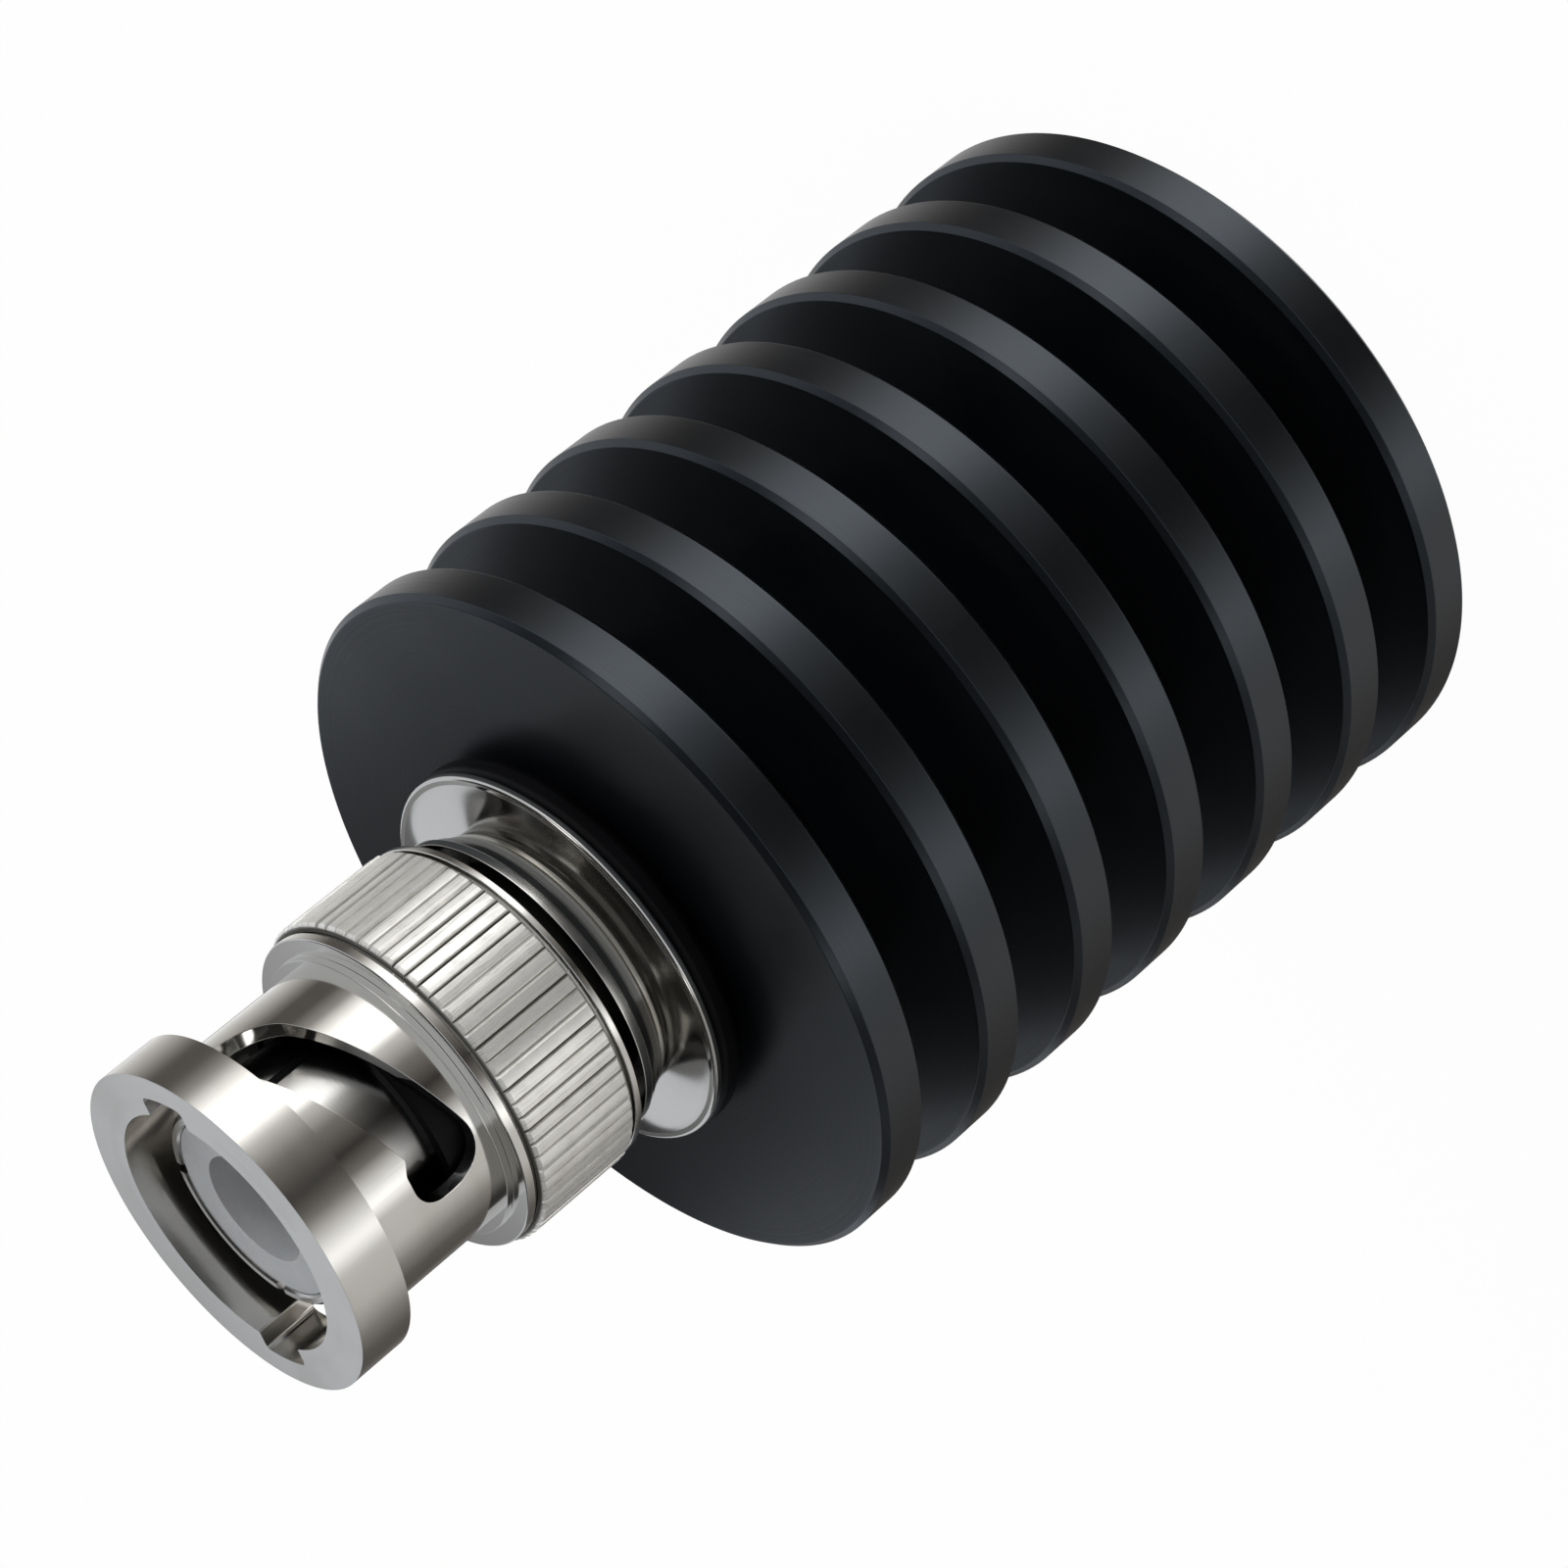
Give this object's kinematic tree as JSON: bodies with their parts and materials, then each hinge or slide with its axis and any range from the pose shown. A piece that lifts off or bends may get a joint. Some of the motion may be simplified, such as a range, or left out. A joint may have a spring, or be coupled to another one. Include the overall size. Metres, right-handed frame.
{
  "type": "coaxial terminator",
  "caption": "Coaxial load with a black finned round heat sink, a nickel flange and a bayonet plug with a knurled coupling nut.",
  "frame": {"origin": "centre of the heat sink's rear face, on the common axis", "axes": "+Z along the common axis from the heat sink's rear face to the plug's mating face; the cam slots' detents lie at 58 and -122 degrees from +X, so the picture looks from the -Y side"},
  "size_m": [0.028, 0.028, 0.0495],
  "materials": {
    "black_anodised": "black anodised, satin",
    "black_rubber": "smooth moulded",
    "nickel_plate": "bright nickel plate on brass",
    "contact_plate": "silver-white plate on spring brass",
    "white_dielectric": "matt white",
    "gold_plate": "gold plate",
    "spring_steel": "bright spring temper",
    "ceramic_film": "dark film on ceramic",
    "tin_plate": "matt tin plate"
  },
  "bodies": {
    "terminator_body": {"heat_sink": "black_anodised", "seal_ring": "black_rubber", "flange_adapter": "nickel_plate", "plug_body": "nickel_plate", "outer_contact": "contact_plate", "contact_insulator": "white_dielectric", "centre_pin": "gold_plate", "face_gasket": "black_rubber", "support_bead": "white_dielectric", "inner_conductor": "gold_plate", "taper_sleeve": "nickel_plate", "resistor_rod": "ceramic_film", "resistor_front_cap": "tin_plate", "resistor_rear_cap": "tin_plate", "ground_collet": "spring_steel", "wave_washer": "spring_steel"},
    "washer_pack": {"retaining_ring": "spring_steel", "thrust_washer": "nickel_plate"},
    "nut": {"coupling_nut": "nickel_plate"}
  },
  "joints": [
    {"name": "nut_slide", "type": "slide", "parent": "terminator_body", "child": "washer_pack", "axis": [0, 0, 1], "range_m": [0, 0.0007], "stiffness_N_per_m": 10000, "springref_m": -0.0005, "deforming": ["wave_washer"]},
    {"name": "nut_turn", "type": "hinge", "parent": "washer_pack", "child": "nut", "pos_m": [0, 0, 0.038], "axis": [0, 0, 1], "continuous": true}
  ]
}
